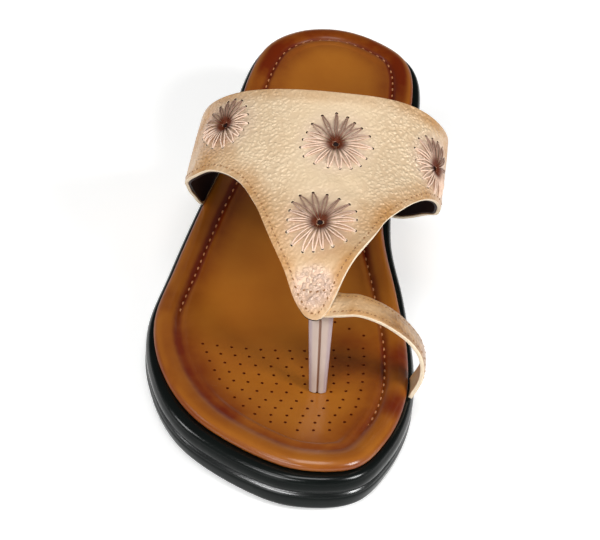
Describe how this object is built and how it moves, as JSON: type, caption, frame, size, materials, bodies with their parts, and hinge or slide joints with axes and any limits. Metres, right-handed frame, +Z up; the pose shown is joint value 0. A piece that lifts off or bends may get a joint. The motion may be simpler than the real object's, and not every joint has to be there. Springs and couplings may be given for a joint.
{
  "type": "platform sandal",
  "caption": "Right thong sandal on a low moulded wedge: wide embossed leather vamp with a pointed tongue, toe loop and toe post over a padded leather footbed.",
  "frame": {"origin": "middle of the sandal's box, on the floor", "axes": "+X to the inner side of the foot, +Y from toe to heel, +Z up"},
  "size_m": [0.1034, 0.2484, 0.0821],
  "materials": {
    "sole": "glossy moulded foam",
    "footbed_leather": "burnished, glossy",
    "upper_leather": "pebbled with a pearl sheen",
    "post_leather": "smooth, pearl"
  },
  "bodies": {
    "root": {"outsole": "sole", "insole": "footbed_leather", "upper": "upper_leather", "toe_post": "post_leather"}
  },
  "joints": []
}
